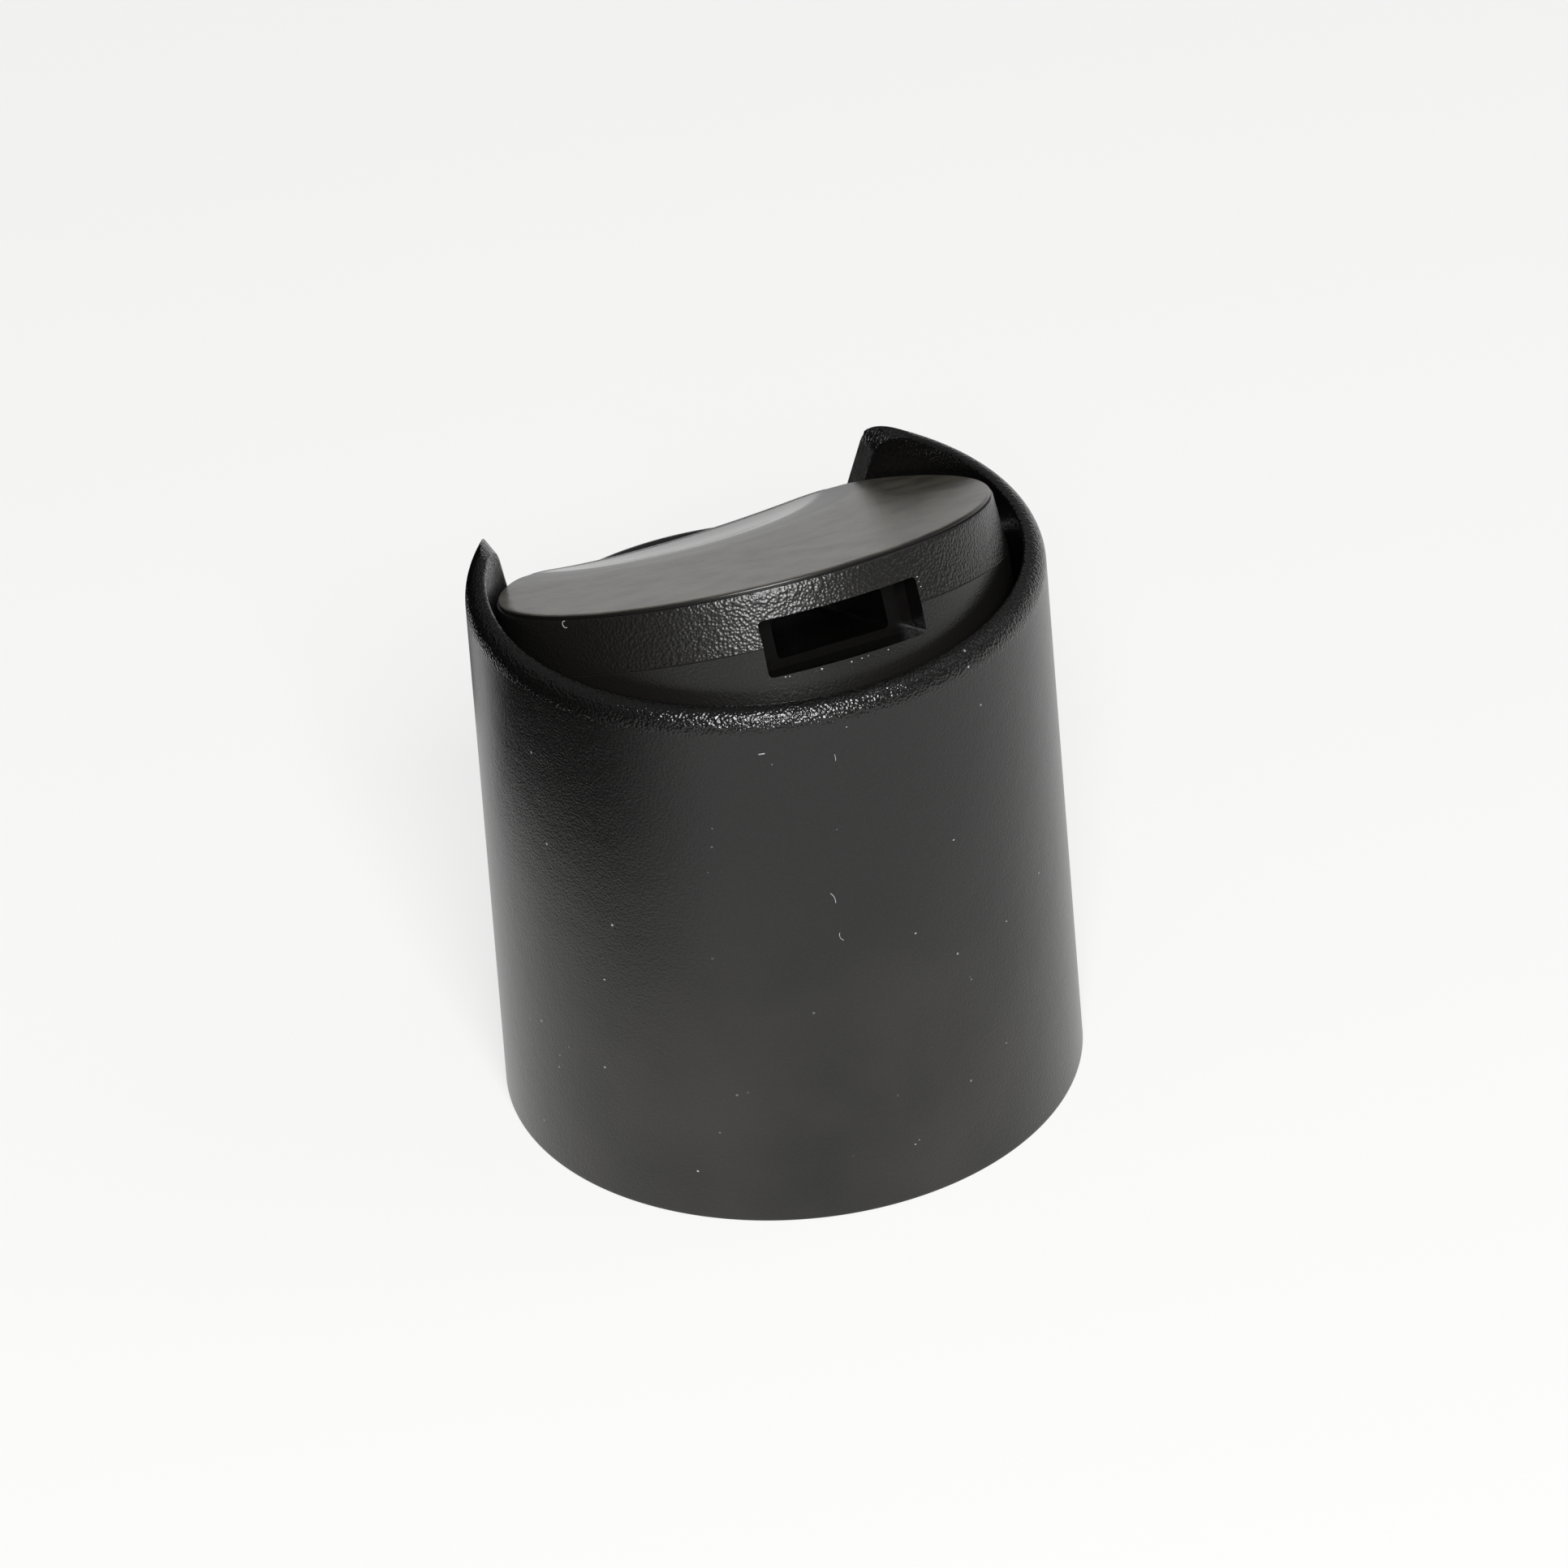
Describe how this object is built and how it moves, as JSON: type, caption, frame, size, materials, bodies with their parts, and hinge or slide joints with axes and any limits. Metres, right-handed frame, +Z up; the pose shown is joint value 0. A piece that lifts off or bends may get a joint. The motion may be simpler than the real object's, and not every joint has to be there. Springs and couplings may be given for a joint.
{
  "type": "disc top cap",
  "caption": "Round moulded bottle cap with a rocking disc: pressed at the rear thumb notch, its front lifts to show a flat rectangular spout opening.",
  "frame": {"origin": "centre of the skirt's open rim, on the cap's own axis", "axes": "+Z up the cap's axis from the neck end to the disc, -Y towards the spout opening, +Y towards the thumb notch, +X along the disc's pivot"},
  "size_m": [0.0276, 0.0276, 0.0323],
  "materials": {
    "cap_body": "black polypropylene, fine spark-eroded texture",
    "pivoting_disc": "black polypropylene, satin top with a spark-eroded edge"
  },
  "bodies": {
    "body": {"cap_body": "cap_body"},
    "disc": {"pivoting_disc": "pivoting_disc"}
  },
  "joints": [
    {"name": "disc_tilt", "type": "hinge", "parent": "body", "child": "disc", "pos_m": [0, 0.0012, 0.0248], "axis": [1, 0, 0], "range_deg": [0, 22.8]}
  ]
}
